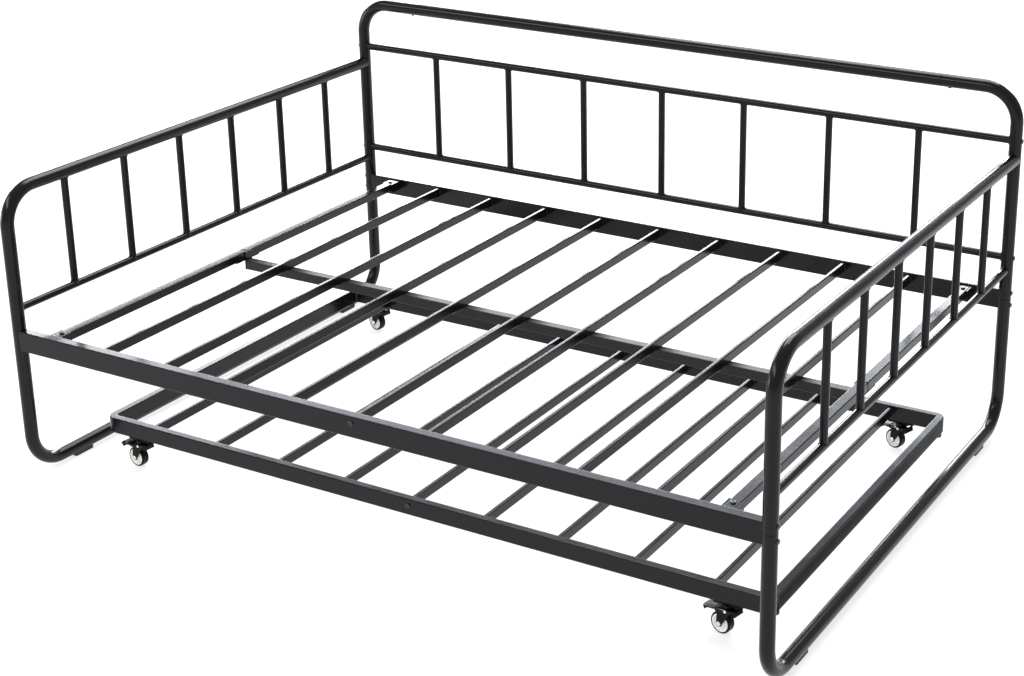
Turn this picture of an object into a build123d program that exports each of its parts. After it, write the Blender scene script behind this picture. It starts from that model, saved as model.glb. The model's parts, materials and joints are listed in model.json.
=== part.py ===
from build123d import *
import os

# Day bed with a wheeled trundle. Sizes are in millimetres.
# X runs along the bed, the front is towards -Y, and the floor is Z = 0.
# The origin lies on the floor under the middle of the bed.

# Round tube frame
end_frame_spacing = 1950.0  # left tube axis to right tube axis
post_spacing = 1380.0  # front post axis to back post axis
tube_diameter = 32.0
tube_wall = 1.5
bend_radius = 85.0  # at the centre line of the tube
thin_diameter = 19.0  # lower arm rails and back crossbars
thin_wall = 1.2
spindle_diameter = 18.0
spindle_wall = 1.0

# Heights of the tube axes, each counted from the piece below it
arm_lower_rise = 51.7  # deck rail top to the lower arm rail
arm_open = 286.3  # lower arm rail to the arm rest
back_lower_rise = 84.0  # deck rail top to the lower crossbar
back_open = 302.0  # lower crossbar to the upper crossbar
back_top_open = 127.0  # upper crossbar to the top rail

# Spindles
back_spindle_pitch = 242.0
arm_spindle_pitch = {"left": 199.6, "right": 188.2}
arm_spindle_rear_gap = 195.0  # back post axis to the last spindle axis
spindle_end_room = 60.0  # least room between a spindle axis and a post or bend

# Sleeves inside the tube seams
top_stub = 110.0  # end of the bend to the seam in the back top rail
sleeve_length = 80.0
sleeve_wall = 1.5
sleeve_fit = 0.1  # radial room between sleeve and tube
top_screw_offset = 20.0  # from the top rail seam to its screw
seam_groove_deep = 0.8  # chamfer on each tube end at a seam

# Foot pads
foot_drop = 5.0  # floor to the underside of the floor rail
foot_length = 58.0
foot_width = 22.0
foot_corner = 3.0
foot_gap = 67.0  # end of the bend to the middle of the pad
foot_peg_diameter = 8.0
foot_peg_length = 9.0

# Deck rails, front and back
rail_width = 25.0
rail_tall = 50.0
rail_wall = 1.5
rail_corner = 3.0
rail_top = 382.0
rail_block = 22.0  # threaded block in each rail end
rail_bolt_edge = 9.0  # bolt axis to the rail's upper or lower edge

# Deck slats
slat_pitch = 181.2
slat_end_room = 60.0  # least room between a slat axis and an end beam
slat_width = 10.0
slat_tall = 24.0
slat_wall = 1.2
slat_corner = 2.5
slat_drop = 4.0  # rail top to slat top
slat_block = 20.0  # threaded block in each end of the middle slat

# End beams, their tabs and brackets, and the centre beam
beam_inset = 97.0  # end frame axis to the end beam axis
beam_width = 25.0
beam_tall = 22.0
beam_wall = 1.5
beam_corner = 2.5
beam_split = 4.0  # gap between the front and rear halves
tab_length = 40.0
tab_thick = 3.0
tab_room = 0.5  # side of the beam to the side of its cup tab
tab_bolt_reach = 25.0  # rail face to the tab bolt
bracket_length = 90.0
bracket_bolt_edge = 15.0  # bolt axis to the end of the bracket
flange_width = 26.0
flange_thick = 3.0
centre_width = 25.0
centre_tall = 25.0
centre_block = 24.0  # threaded block in each end of the centre beam

# Trundle frame
trundle_end_gap = 73.5  # end frame axis to the trundle's end when it is centred
trundle_shift = 17.0  # parked this far to the right of the middle
trundle_setback = 152.0  # front post axis to the trundle's front face
trundle_depth = 1006.0
trundle_width = 20.0
trundle_tall = 40.0
trundle_wall = 1.5
trundle_tube_corner = 2.5
trundle_inner_bend = 5.0  # inner radius of the rounded corners
trundle_seam_gap = 5.0  # end of the corner to its seam
trundle_slat_pitch = 190.3
corner_foot_diameter = 18.0
corner_foot_drop = 11.0
corner_foot_round = 3.5

# Casters. A caster is drawn with its swivel axis on Z and its wheel trailing towards -X.
# At rest each one stands turned about Z by its own angle in degrees.
caster_turn = {"front_left": -5.0, "front_right": -12.0, "rear_left": -11.0, "rear_right": -18.0}
caster_inset = 105.0  # trundle end to the swivel axis
rear_caster_shift = -8.0  # along X, from the places of the front casters
caster_trail = 16.0
plate_length = 70.0
plate_width = 20.0
plate_thick = 3.0
plate_corner = 6.5
plate_screw_edge = 8.0  # screw axis to the end of the plate
king_pin_diameter = 8.0
king_pin_head_diameter = 13.0
king_pin_head_thick = 2.0
wheel_diameter = 50.0
tyre_width = 20.0
tyre_thick = 4.5
tyre_round = 3.5
least_wall = 0.5  # left of the tyre beside its rounded shoulder
hub_inset = 0.5  # hub rim behind the tyre's side
hub_rim = 3.0
hub_web = 8.0
hub_boss_diameter = 14.0
axle_diameter = 6.0
axle_head_diameter = 11.0
axle_head_thick = 2.2
axle_head_round = 1.1
fork_gap = 1.5  # tyre side to fork cheek
cheek_thick = 2.0
cheek_boss_diameter = 15.0
fork_web_thick = 3.0
fork_web_room = 10.0  # wheel top to the fork's web
fork_web_front = 16.0  # swivel axis to the web's front edge
fork_web_back = 20.0  # swivel axis to the web's back edge
swivel_gap = 0.3  # crown to plate

# Brake pedal, a rocker on two pivots outside the fork. It is drawn level.
pedal_tilt = 9.0  # degrees that its ribbed end is pressed down at rest
pedal_pivot_diameter = 5.0
pedal_pivot_reach = 2.0  # in front of the swivel axis
pedal_pivot_rise = 1.0  # above the underside of the fork's web
pedal_side_room = 0.5  # cheek to the pedal's side arm
pedal_arm_thick = 3.0
pedal_arm_tall = 6.0
pedal_end_room = 2.0  # fork web to the pedal, front and back
pedal_length = 36.0
pedal_thick = 4.5
pedal_corner = 4.5
pedal_rise = 0.5  # underside of the pedal above its pivot
pedal_rib_count = 6
pedal_rib_tall = 1.5
pedal_rib_width = 2.2
pedal_top_room = 3.0  # ribs to the screw heads above them
pedal_lip_thick = 3.0  # lip that turns down at the pedal's free end
pedal_lip_drop = 7.0
heel_length = 9.0
heel_thick = 14.0
heel_round = 4.0
heel_tip_width = 24.0

# Fasteners and fits
bolt_diameter = 6.0
bolt_head_diameter = 12.0
bolt_head_tall = 3.2
bolt_head_round = 2.2
bolt_socket = 4.6  # hexagon across its corners
bolt_socket_deep = 1.8
bolt_hole_room = 0.2  # radial room round a bolt in a plain hole
thread_room = 0.05  # radial room round a bolt in a threaded block
bolt_grip = 16.0  # how far a bolt reaches into its block
screw_diameter = 5.0
screw_head_diameter = 9.0
screw_head_tall = 2.5
screw_head_round = 1.6
screw_socket = 3.4
screw_socket_deep = 1.4
screw_grip = 5.0  # how far a screw reaches behind the wall
running_fit = 0.05  # radial room of a shaft that turns
paint_gap = 0.1  # between a shaped tube end and the tube it meets

sides = {"left": -1.0, "right": 1.0}

# Places worked out from the sizes above
end_x = end_frame_spacing / 2
front_y = -post_spacing / 2
back_y = post_spacing / 2
tube_radius = tube_diameter / 2
floor_rail_z = foot_drop + tube_radius
rail_z = rail_top - rail_tall / 2
seam_z = rail_z
rail_bolt_heights = (rail_z - rail_tall / 2 + rail_bolt_edge, rail_top - rail_bolt_edge)
arm_lower_height = rail_top + arm_lower_rise
arm_top_height = arm_lower_height + arm_open
back_lower_height = rail_top + back_lower_rise
back_upper_height = back_lower_height + back_open
back_top_height = back_upper_height + back_top_open
slat_top = rail_top - slat_drop
slat_z = slat_top - slat_tall / 2
beam_x = end_x - beam_inset
beam_z = slat_top - beam_tall / 2
tab_width = beam_width + 2 * tab_room + 2 * tab_thick
bracket_thick = slat_tall - beam_tall
bracket_bolts = (-bracket_length / 2 + bracket_bolt_edge, bracket_length / 2 - bracket_bolt_edge)
centre_top = slat_top - slat_tall
centre_z = centre_top - centre_tall / 2
centre_reach = beam_x - beam_width / 2 - flange_thick
front_rail_face = front_y + rail_width / 2
back_rail_face = back_y - rail_width / 2
top_seam_x = end_x - bend_radius - top_stub
foot_places = (front_y + bend_radius + foot_gap, back_y - bend_radius - foot_gap)

nodes = {}


def rod(start, end, diameter):
    """Solid round bar from one point to another."""
    run = Vector(*end) - Vector(*start)
    plane = Plane(origin=start, z_dir=run)
    return extrude(plane * Circle(diameter / 2), amount=run.length)


def bent_tube(points, bore_points):
    """Main round tube along straight runs joined by bends, with its bore."""
    walls = []
    for route, radius in ((points, tube_radius), (bore_points, tube_radius - tube_wall)):
        path = FilletPolyline(*route, radius=bend_radius)
        plane = Plane(origin=path @ 0, z_dir=path % 0)
        walls.append(sweep(plane * Circle(radius), path=path))
    return walls[0] - walls[1]


def box_section(start, end, width, tall, corner):
    """Level bar with rounded edges from one point to another."""
    run = Vector(*end) - Vector(*start)
    plane = Plane(origin=start, x_dir=Vector(0, 0, 1).cross(run), z_dir=run)
    return extrude(plane * RectangleRounded(width, tall, corner), amount=run.length)


def box_tube(start, end, width, tall, wall, corner, block=0.0):
    """Box tube from one point to another. Its ends are solid for the length of the block."""
    run = (Vector(*end) - Vector(*start)).normalized() * block
    inner_start = Vector(*start) + run
    inner_end = Vector(*end) - run
    bore = box_section(inner_start, inner_end, width - 2 * wall, tall - 2 * wall, corner - wall)
    return box_section(start, end, width, tall, corner) - bore


def fastener(diameter, length, head_diameter, head_tall, head_round, socket, socket_deep):
    """Round-head fastener along Z: its head stands on Z = 0 and its shank goes down."""
    head = extrude(Circle(head_diameter / 2), amount=head_tall)
    head = fillet(head.edges().group_by(Axis.Z)[-1], head_round)
    head -= Pos(0, 0, head_tall) * extrude(RegularPolygon(socket / 2, 6), amount=-socket_deep)
    return head + extrude(Circle(diameter / 2), amount=-length)


def bolt(seat, outward, length):
    """Frame bolt with its head on the seat."""
    head = (bolt_head_diameter, bolt_head_tall, bolt_head_round, bolt_socket, bolt_socket_deep)
    return Plane(origin=seat, z_dir=outward).location * fastener(bolt_diameter, length, *head)


def screw(seat, outward, length):
    """Small screw with its head on the seat."""
    head = (screw_head_diameter, screw_head_tall, screw_head_round, screw_socket, screw_socket_deep)
    return Plane(origin=seat, z_dir=outward).location * fastener(screw_diameter, length, *head)


def post_bolt_holes(x, y):
    """Two holes along X through a post at the heights of the rail bolts."""
    holes = []
    for z in rail_bolt_heights:
        start = (x - tube_diameter, y, z)
        holes.append(rod(start, (x + tube_diameter, y, z), bolt_diameter + 2 * bolt_hole_room))
    return holes[0] + holes[1]


def post_cut(x, y):
    """Round cutter for the shaped end of a tube that meets a post."""
    return rod((x, y, 0), (x, y, back_top_height), tube_diameter + 2 * paint_gap)


def seam_groove(place, along):
    """V-shaped ring round a seam. Cut from both tubes, it chamfers their ends."""
    deep = tube_radius - seam_groove_deep
    proud = tube_radius + seam_groove_deep
    outline = Polyline((deep, 0), (proud, 2 * seam_groove_deep), (proud, -2 * seam_groove_deep), close=True)
    ring = revolve(Plane.XZ * make_face(outline), axis=Axis.Z)
    return Plane(origin=place, z_dir=along).location * ring


def leg_frame(side):
    """U-bent tube: two legs joined by a floor rail."""
    x = side * end_x
    route = [(x, front_y, seam_z), (x, front_y, floor_rail_z), (x, back_y, floor_rail_z), (x, back_y, seam_z)]
    tube = bent_tube(route, route)
    for y in (front_y, back_y):
        tube -= post_bolt_holes(x, y)
        tube -= seam_groove((x, y, seam_z), (0, 0, 1))
    for y in foot_places:
        peg_hole = foot_peg_diameter + 2 * bolt_hole_room
        tube -= rod((x, y, 0), (x, y, floor_rail_z), peg_hole)
    return tube


def foot_pad(x, y):
    """Plastic pad that saddles the floor rail, with a peg into the rail's underside."""
    pad = Pos(x, y, 0) * extrude(RectangleRounded(foot_width, foot_length, foot_corner), amount=floor_rail_z)
    rail_start = (x, y - foot_length, floor_rail_z)
    pad -= rod(rail_start, (x, y + foot_length, floor_rail_z), tube_diameter + 2 * paint_gap)
    return pad + rod((x, y, 0), (x, y, foot_drop + foot_peg_length), foot_peg_diameter)


def arm_tube(side):
    """Front post, bend and arm rest in one tube, shaped to the back post at its rear end."""
    x = side * end_x
    block_y = back_y - tube_radius - rail_block
    route = [(x, front_y, seam_z), (x, front_y, arm_top_height)]
    tube = bent_tube(route + [(x, back_y, arm_top_height)], route + [(x, block_y, arm_top_height)])
    tube -= post_cut(x, back_y)
    tube -= post_bolt_holes(x, front_y)
    tube -= seam_groove((x, front_y, seam_z), (0, 0, 1))
    thread = bolt_diameter + 2 * thread_room
    return tube - rod((x, block_y, arm_top_height), (x, back_y, arm_top_height), thread)


def arm_lower_rail(side):
    """Thin rail between the front post and the back post of an arm."""
    x = side * end_x
    z = arm_lower_height
    block_y = back_y - tube_radius - rail_block
    rail = rod((x, front_y, z), (x, back_y, z), thin_diameter)
    rail -= rod((x, front_y, z), (x, block_y, z), thin_diameter - 2 * thin_wall)
    rail -= rod((x, block_y, z), (x, back_y, z), bolt_diameter + 2 * thread_room)
    return rail - post_cut(x, front_y) - post_cut(x, back_y)


def spindle(x, y, low, high):
    """Upright tube between two level tube axes."""
    bar = rod((x, y, low), (x, y, high), spindle_diameter)
    return bar - rod((x, y, low), (x, y, high), spindle_diameter - 2 * spindle_wall)


def arm_spindles(name):
    """Spindles of one arm, shaped to the lower rail and the arm rest."""
    x = sides[name] * end_x
    rest = rod((x, front_y, arm_top_height), (x, back_y, arm_top_height), tube_diameter + 2 * paint_gap)
    lower = rod((x, front_y, arm_lower_height), (x, back_y, arm_lower_height), thin_diameter + 2 * paint_gap)
    bars = []
    room = post_spacing - arm_spindle_rear_gap - bend_radius - spindle_end_room
    for index in range(int(room // arm_spindle_pitch[name]) + 1):
        y = back_y - arm_spindle_rear_gap - index * arm_spindle_pitch[name]
        bars.append(spindle(x, y, arm_lower_height, arm_top_height) - rest - lower)
    return bars


def top_screw_hole(side, diameter):
    """Hole from below into the top rail, beside its seam."""
    x = side * (top_seam_x + top_screw_offset)
    return rod((x, back_y, back_top_height - tube_diameter), (x, back_y, back_top_height), diameter)


def back_post(side):
    """Upright of the back that bends into the top rail."""
    x = side * end_x
    route = [(x, back_y, seam_z), (x, back_y, back_top_height), (side * top_seam_x, back_y, back_top_height)]
    tube = bent_tube(route, route) - post_bolt_holes(x, back_y)
    tube -= seam_groove(route[0], (0, 0, 1))
    tube -= seam_groove(route[-1], (1, 0, 0))
    hole = bolt_diameter + 2 * bolt_hole_room
    for z in (back_upper_height, back_lower_height):
        tube -= rod((x - tube_diameter, back_y, z), (x + tube_diameter, back_y, z), hole)
    for z in (arm_top_height, arm_lower_height):
        tube -= rod((x, back_y - tube_diameter, z), (x, back_y + tube_diameter, z), hole)
    return tube - top_screw_hole(side, screw_diameter + 2 * bolt_hole_room)


def back_crossbar(z):
    """Thin rail between the back posts, with a threaded block in each end."""
    block_x = end_x - tube_radius - rail_block
    rail = rod((-end_x, back_y, z), (end_x, back_y, z), thin_diameter)
    rail -= rod((-block_x, back_y, z), (block_x, back_y, z), thin_diameter - 2 * thin_wall)
    rail -= rod((-end_x, back_y, z), (end_x, back_y, z), bolt_diameter + 2 * thread_room)
    return rail - post_cut(-end_x, back_y) - post_cut(end_x, back_y)


def steps_each_way(reach, pitch):
    """Whole steps of a pitch that fit on both sides of a middle, with the middle itself."""
    most = int(reach // pitch)
    return range(-most, most + 1)


def back_spindles():
    """Spindles of the back, shaped to the two crossbars."""
    room = thin_diameter + 2 * paint_gap
    upper = rod((-end_x, back_y, back_upper_height), (end_x, back_y, back_upper_height), room)
    lower = rod((-end_x, back_y, back_lower_height), (end_x, back_y, back_lower_height), room)
    bars = []
    for step in steps_each_way(end_x - tube_radius - spindle_end_room, back_spindle_pitch):
        bar = spindle(step * back_spindle_pitch, back_y, back_lower_height, back_upper_height)
        bars.append(bar - upper - lower)
    return bars


def tube_sleeves():
    """Inner sleeves across the post seams and the top rail seams."""
    outer = tube_diameter - 2 * tube_wall - 2 * sleeve_fit
    inner = outer - 2 * sleeve_wall
    half = sleeve_length / 2
    sleeves = []
    for side in sides.values():
        for y in (front_y, back_y):
            low = (side * end_x, y, seam_z - half)
            high = (side * end_x, y, seam_z + half)
            sleeve = rod(low, high, outer) - rod(low, high, inner)
            sleeves.append(sleeve - post_bolt_holes(side * end_x, y))
        near = (side * (top_seam_x - half), back_y, back_top_height)
        far = (side * (top_seam_x + half), back_y, back_top_height)
        sleeve = rod(near, far, outer) - rod(near, far, inner)
        sleeves.append(sleeve - top_screw_hole(side, screw_diameter + 2 * thread_room))
    return sleeves


def deck_rail(y, inward):
    """Box rail between two posts, with threaded ends and a welded cup tab under each end beam."""
    block = tube_radius + rail_block
    rail_ends = ((-end_x, y, rail_z), (end_x, y, rail_z))
    rail = box_tube(*rail_ends, rail_width, rail_tall, rail_wall, rail_corner, block)
    face = y + inward * rail_width / 2
    for side in sides.values():
        tab_start = face - inward * rail_wall
        tab_end = face + inward * tab_length
        tab_run = abs(tab_end - tab_start)
        tab = Box(tab_width, tab_run, beam_tall + tab_thick)
        tab -= Pos(0, 0, tab_thick) * Box(tab_width - 2 * tab_thick, tab_run, beam_tall + tab_thick)
        tab_z = slat_top - (beam_tall + tab_thick) / 2
        tab = Pos(side * beam_x, (tab_start + tab_end) / 2, tab_z) * tab
        bolt_y = face + inward * tab_bolt_reach
        hole_start = (side * beam_x, bolt_y, slat_top - beam_tall - tab_thick)
        hole_end = (side * beam_x, bolt_y, slat_top - beam_tall)
        rail += tab - rod(hole_start, hole_end, bolt_diameter + 2 * thread_room)
        rail -= post_cut(side * end_x, y)
        for z in rail_bolt_heights:
            inner_x = side * (end_x - block)
            rail -= rod((inner_x, y, z), (side * end_x, y, z), bolt_diameter + 2 * thread_room)
    middle_hole = bolt_diameter + 2 * bolt_hole_room
    return rail - rod((0, y - rail_width, slat_z), (0, y + rail_width, slat_z), middle_hole)


def slat(x, start_y, end_y, z, bolted):
    """Flat box slat from rail to rail. A bolted one has a threaded block in each end."""
    block = slat_block if bolted else 0.0
    bar = box_tube((x, start_y, z), (x, end_y, z), slat_width, slat_tall, slat_wall, slat_corner, block)
    if bolted:
        bar -= rod((x, start_y, z), (x, end_y, z), bolt_diameter + 2 * thread_room)
    return bar


def slat_row(reach, pitch, middle_x, start_y, end_y, z):
    """Evenly spaced slats. Only the middle one is bolted to the rails."""
    bars = []
    for step in steps_each_way(reach - slat_end_room, pitch):
        bars.append(slat(middle_x + step * pitch, start_y, end_y, z, step == 0))
    return bars


def end_beam(side, towards_back):
    """Front or rear half of an end beam, from a deck rail to the bracket in the middle."""
    face = back_rail_face if towards_back else front_rail_face
    inward = -1.0 if towards_back else 1.0
    start = (side * beam_x, face, beam_z)
    end = (side * beam_x, -inward * beam_split / 2, beam_z)
    beam = box_tube(start, end, beam_width, beam_tall, beam_wall, beam_corner)
    hole = bolt_diameter + 2 * bolt_hole_room
    tab_y = face + inward * tab_bolt_reach
    beam -= rod((side * beam_x, tab_y, beam_z - beam_tall), (side * beam_x, tab_y, slat_top), hole)
    bracket_y = bracket_bolts[1] if towards_back else bracket_bolts[0]
    bracket_hole_low = (side * beam_x, bracket_y, beam_z - beam_tall)
    return beam - rod(bracket_hole_low, (side * beam_x, bracket_y, beam_z), hole)


def beam_bracket(side):
    """Plate under the two beam halves with a flange on their inner side that carries the centre beam."""
    plate_top = slat_top - beam_tall
    plate = Box(beam_width, bracket_length, bracket_thick)
    plate = Pos(side * beam_x, 0, plate_top - bracket_thick / 2) * plate
    flange_low = centre_top - centre_tall
    flange = Box(flange_thick, flange_width, slat_top - flange_low)
    flange = Pos(side * (centre_reach + flange_thick / 2), 0, (slat_top + flange_low) / 2) * flange
    hole = bolt_diameter + 2 * bolt_hole_room
    bracket = plate + flange
    for y in bracket_bolts:
        bracket -= rod((side * beam_x, y, plate_top - 2 * bracket_thick), (side * beam_x, y, plate_top), hole)
    return bracket - rod((side * centre_reach, 0, centre_z), (side * beam_x, 0, centre_z), hole)


def centre_beam():
    """Box beam under all the slats, held between the flanges of the two brackets."""
    low = (-centre_reach, 0, centre_z)
    high = (centre_reach, 0, centre_z)
    beam = box_tube(low, high, centre_width, centre_tall, beam_wall, beam_corner, centre_block)
    return beam - rod(low, high, bolt_diameter + 2 * thread_room)


def frame_bolts():
    """Bolts of the deck rails, the crossbars and the arms, with their heads on the posts."""
    length = tube_diameter + bolt_grip
    bolts = []
    for side in sides.values():
        outer = side * (end_x + tube_radius)
        for y in (front_y, back_y):
            for z in rail_bolt_heights:
                bolts.append(bolt((outer, y, z), (side, 0, 0), length))
        for z in (back_upper_height, back_lower_height):
            bolts.append(bolt((outer, back_y, z), (side, 0, 0), length))
        for z in (arm_top_height, arm_lower_height):
            bolts.append(bolt((side * end_x, back_y + tube_radius, z), (0, 1, 0), length))
    return bolts


def deck_bolts():
    """Bolts of the tabs, the brackets and the middle slat."""
    bolts = []
    for side in sides.values():
        for tab_y in (front_rail_face + tab_bolt_reach, back_rail_face - tab_bolt_reach):
            bolts.append(bolt((side * beam_x, tab_y, slat_top), (0, 0, 1), beam_tall + tab_thick))
        bracket_low = slat_top - beam_tall - bracket_thick
        for y in bracket_bolts:
            bolts.append(bolt((side * beam_x, y, bracket_low), (0, 0, -1), bracket_thick + beam_tall / 2))
        flange_face = side * (centre_reach + flange_thick)
        bolts.append(bolt((flange_face, 0, centre_z), (side, 0, 0), flange_thick + bolt_grip))
    for y, outward in ((front_y - rail_width / 2, -1.0), (back_y + rail_width / 2, 1.0)):
        bolts.append(bolt((0, y, slat_z), (0, outward, 0), rail_width + bolt_grip))
    return bolts


def sleeve_screws():
    """Screws from below into the sleeves of the top rail."""
    screws = []
    for side in sides.values():
        seat = (side * (top_seam_x + top_screw_offset), back_y, back_top_height - tube_radius)
        screws.append(screw(seat, (0, 0, -1), tube_wall + sleeve_fit + sleeve_wall + screw_grip))
    return screws


# Bed frame
for name, side in sides.items():
    nodes[f"leg_frame_{name}"] = [leg_frame(side)]
    nodes[f"arm_tube_{name}"] = [arm_tube(side)]
    nodes[f"arm_lower_rail_{name}"] = [arm_lower_rail(side)]
    nodes[f"arm_spindles_{name}"] = arm_spindles(name)
    nodes[f"back_post_{name}"] = [back_post(side)]
    nodes[f"end_beam_{name}_front"] = [end_beam(side, False)]
    nodes[f"end_beam_{name}_rear"] = [end_beam(side, True)]
    nodes[f"beam_bracket_{name}"] = [beam_bracket(side)]

nodes["foot_pads"] = [foot_pad(side * end_x, y) for side in sides.values() for y in foot_places]
top_start = (-top_seam_x, back_y, back_top_height)
top_end = (top_seam_x, back_y, back_top_height)
top_bore = tube_diameter - 2 * tube_wall
top_rail = rod(top_start, top_end, tube_diameter) - rod(top_start, top_end, top_bore)
top_grooves = seam_groove(top_start, (1, 0, 0)) + seam_groove(top_end, (1, 0, 0))
nodes["back_top_rail"] = [top_rail - top_grooves]
nodes["back_upper_crossbar"] = [back_crossbar(back_upper_height)]
nodes["back_lower_crossbar"] = [back_crossbar(back_lower_height)]
nodes["back_spindles"] = back_spindles()
nodes["tube_sleeves"] = tube_sleeves()
nodes["front_rail"] = [deck_rail(front_y, 1.0)]
nodes["back_rail"] = [deck_rail(back_y, -1.0)]
slat_reach = beam_x - beam_width / 2
nodes["deck_slats"] = slat_row(slat_reach, slat_pitch, 0.0, front_rail_face, back_rail_face, slat_z)
nodes["centre_beam"] = [centre_beam()]
nodes["frame_bolts"] = frame_bolts()
nodes["deck_bolts"] = deck_bolts()
nodes["sleeve_screws"] = sleeve_screws()

# Heights in a caster, from the wheel up to the trundle rail
web_low = wheel_diameter + fork_web_room
web_top = web_low + fork_web_thick
pivot_z = web_low + pedal_pivot_rise
pad_low = pivot_z + pedal_rise
pad_top = pad_low + pedal_thick
plate_low = pad_top + pedal_rib_tall + pedal_top_room + screw_head_tall
caster_height = plate_low + plate_thick

# Trundle frame
trundle_half = end_x - trundle_end_gap
trundle_bend = trundle_width / 2 + trundle_inner_bend
trundle_seam = trundle_width + trundle_inner_bend + trundle_seam_gap
trundle_front = front_y + trundle_setback
trundle_back = trundle_front + trundle_depth
trundle_front_axis = trundle_front + trundle_width / 2
trundle_back_axis = trundle_back - trundle_width / 2
trundle_z = caster_height + trundle_tall / 2
trundle_slat_z = caster_height + trundle_tall - slat_drop - slat_tall / 2
trundle_seam_x = trundle_half - trundle_seam
caster_x = trundle_half - caster_inset
rear_caster_middle = trundle_shift + rear_caster_shift
caster_spots = {
    "front_left": (trundle_shift - caster_x, trundle_front_axis),
    "front_right": (trundle_shift + caster_x, trundle_front_axis),
    "rear_left": (rear_caster_middle - caster_x, trundle_back_axis),
    "rear_right": (rear_caster_middle + caster_x, trundle_back_axis),
}


def trundle_rail(y, caster_middle):
    """Straight box rail between the two bent ends, drilled for the middle slat and the casters."""
    low = (trundle_shift - trundle_seam_x, y, trundle_z)
    high = (trundle_shift + trundle_seam_x, y, trundle_z)
    rail = box_tube(low, high, trundle_width, trundle_tall, trundle_wall, trundle_tube_corner)
    start = (trundle_shift, y - trundle_width, trundle_slat_z)
    end = (trundle_shift, y + trundle_width, trundle_slat_z)
    rail -= rod(start, end, bolt_diameter + 2 * bolt_hole_room)
    for side in sides.values():
        for x in plate_screw_places(caster_middle + side * caster_x):
            rail -= rod((x, y, caster_height), (x, y, trundle_z), screw_diameter + 2 * thread_room)
    return rail


def plate_screw_places(spot_x):
    """X places of a caster's two screws."""
    reach = plate_length / 2 - plate_screw_edge
    return (spot_x - reach, spot_x + reach)


def trundle_end(side):
    """End of the trundle with a rounded corner at each side, one bent box tube."""
    outer_x = trundle_shift + side * (trundle_half - trundle_width / 2)
    seam_x = trundle_shift + side * trundle_seam_x
    corners = [(outer_x, trundle_front_axis, trundle_z), (outer_x, trundle_back_axis, trundle_z)]
    route = [(seam_x, trundle_front_axis, trundle_z), *corners, (seam_x, trundle_back_axis, trundle_z)]
    path = FilletPolyline(*route, radius=trundle_bend)
    plane = Plane(origin=route[0], x_dir=(0, 1, 0), z_dir=(side, 0, 0))
    outer = RectangleRounded(trundle_width, trundle_tall, trundle_tube_corner)
    inner_corner = trundle_tube_corner - trundle_wall
    inner = RectangleRounded(trundle_width - 2 * trundle_wall, trundle_tall - 2 * trundle_wall, inner_corner)
    return sweep(plane * outer, path=path) - sweep(plane * inner, path=path)


def corner_foot(x, y):
    """Plastic stud with a domed underside below a corner of the trundle."""
    stud = rod((x, y, caster_height - corner_foot_drop), (x, y, caster_height), corner_foot_diameter)
    return fillet(stud.edges().group_by(Axis.Z)[0], corner_foot_round)


def trundle_bolts():
    """Bolts through the front and back rails into the middle slat."""
    length = trundle_width + bolt_grip
    front = bolt((trundle_shift, trundle_front, trundle_slat_z), (0, -1, 0), length)
    back = bolt((trundle_shift, trundle_back, trundle_slat_z), (0, 1, 0), length)
    return [front, back]


nodes["trundle_front_rail"] = [trundle_rail(trundle_front_axis, trundle_shift)]
nodes["trundle_back_rail"] = [trundle_rail(trundle_back_axis, rear_caster_middle)]
for name, side in sides.items():
    nodes[f"trundle_end_{name}"] = [trundle_end(side)]
trundle_slat_span = (trundle_front + trundle_width, trundle_back - trundle_width)
trundle_slat_reach = trundle_half - trundle_width
nodes["trundle_slats"] = slat_row(
    trundle_slat_reach, trundle_slat_pitch, trundle_shift, *trundle_slat_span, trundle_slat_z
)
nodes["trundle_bolts"] = trundle_bolts()
corner_places = [
    (trundle_shift + s * (trundle_half - trundle_width / 2), y)
    for s in sides.values()
    for y in (trundle_front + trundle_seam, trundle_back - trundle_seam)
]
nodes["trundle_corner_feet"] = [corner_foot(x, y) for x, y in corner_places]

# Casters
wheel_radius = wheel_diameter / 2
crown_top = plate_low - swivel_gap
cheek_inner = tyre_width / 2 + fork_gap
cheek_outer = cheek_inner + cheek_thick
pivot_x = pedal_pivot_reach
arm_inner = cheek_outer + pedal_side_room
arm_outer = arm_inner + pedal_arm_thick


def caster_plate():
    """Steel plate screwed under the trundle rail, with the king pin's hole."""
    outline = RectangleRounded(plate_length, plate_width, plate_corner)
    plate = Pos(0, 0, plate_low) * extrude(outline, amount=plate_thick)
    plate -= rod((0, 0, plate_low), (0, 0, caster_height), king_pin_diameter + 2 * thread_room)
    for x in plate_screw_places(0.0):
        plate -= rod((x, 0, plate_low), (x, 0, caster_height), screw_diameter + 2 * bolt_hole_room)
    return plate


def king_pin():
    """Rivet through the plate and the crown, with its head inside the fork."""
    head_top = web_low - swivel_gap
    shank = rod((0, 0, head_top), (0, 0, caster_height), king_pin_diameter)
    return shank + rod((0, 0, head_top - king_pin_head_thick), (0, 0, head_top), king_pin_head_diameter)


def fork_cheek(side):
    """Tapered cheek from the web down to the axle, with the pedal's pivot on its outer face."""
    boss = cheek_boss_diameter / 2
    outline = Polyline(
        (-fork_web_back, web_top),
        (fork_web_front, web_top),
        (-caster_trail + boss, wheel_radius),
        (-caster_trail - boss, wheel_radius),
        close=True,
    )
    flat = make_face(outline) + Pos(-caster_trail, wheel_radius) * Circle(boss)
    plane = Plane(origin=(0, side * cheek_inner, 0), x_dir=(1, 0, 0), z_dir=(0, -1, 0))
    cheek = extrude(plane * flat, amount=-side * cheek_thick)
    pivot_start = (pivot_x, side * cheek_inner, pivot_z)
    return cheek + rod(pivot_start, (pivot_x, side * arm_outer, pivot_z), pedal_pivot_diameter)


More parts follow.
